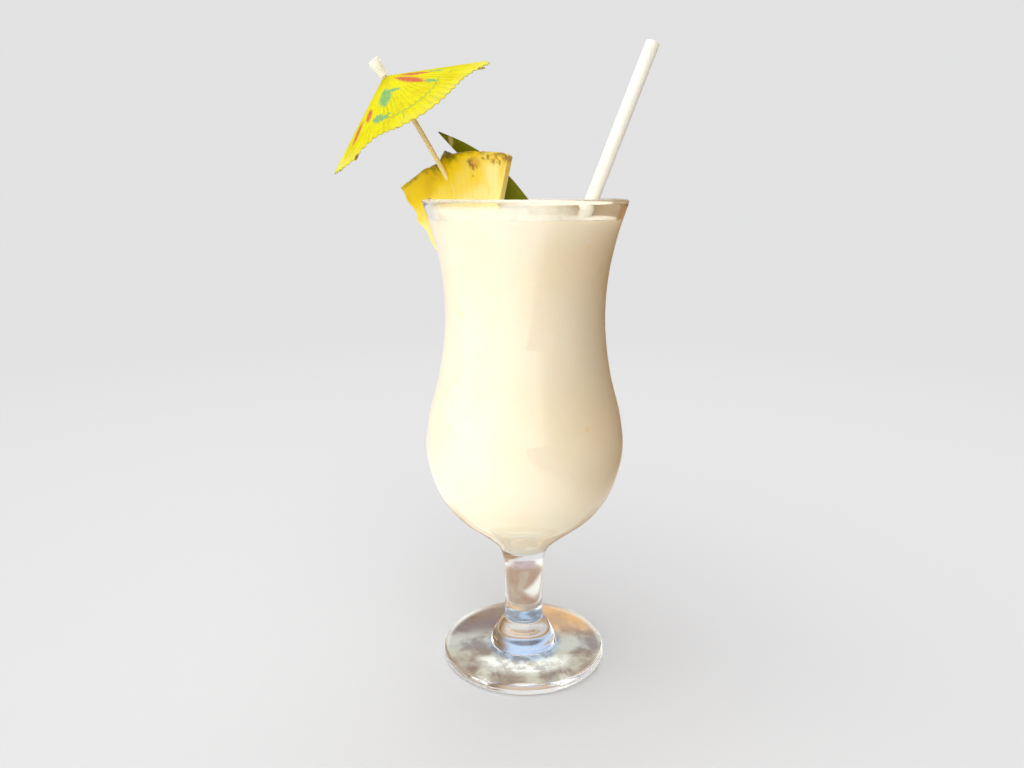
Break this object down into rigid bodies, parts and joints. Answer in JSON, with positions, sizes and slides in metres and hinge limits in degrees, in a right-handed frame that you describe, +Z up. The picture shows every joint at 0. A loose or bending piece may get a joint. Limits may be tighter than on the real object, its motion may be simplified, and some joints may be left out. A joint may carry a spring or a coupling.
{
  "type": "pina colada",
  "caption": "Creamy pina colada in a tall waisted stem glass, with a pineapple slice on the rim, a leaf, a paper umbrella and a paper straw.",
  "frame": {"origin": "middle of the flat underside of the glass's foot", "axes": "+Z up along the glass's axis; the umbrella and the slice are at -X and the straw leans towards +X"},
  "size_m": [0.1326, 0.0836, 0.2647],
  "materials": {
    "glass": "clear polished glass",
    "drink": "opaque pale cream liquid with fine pulp",
    "straw_paper": "plain white wound paper",
    "pineapple": "moist fibrous yellow flesh with scraps of skin",
    "leaf": "waxy green leaf with fine lengthwise streaks",
    "pick_wood": "plain light wood, matt",
    "canopy_paper": "thin pleated yellow paper with a loose flower pattern",
    "knob_paper": "tightly rolled white paper",
    "card": "plain matt card",
    "split_wood": "split light wood, matt"
  },
  "bodies": {
    "root": {"glass": "glass", "drink": "drink", "straw": "straw_paper", "pineapple_slice": "pineapple", "leaf": "leaf", "pick": "pick_wood", "canopy": "canopy_paper", "knob": "knob_paper", "crown": "card", "runner": "card", "rib_0": "split_wood", "rib_1": "split_wood", "rib_2": "split_wood", "rib_3": "split_wood", "rib_4": "split_wood", "rib_5": "split_wood", "rib_6": "split_wood", "rib_7": "split_wood", "strut_0": "split_wood", "strut_1": "split_wood", "strut_2": "split_wood", "strut_3": "split_wood", "strut_4": "split_wood", "strut_5": "split_wood", "strut_6": "split_wood", "strut_7": "split_wood"}
  },
  "joints": []
}
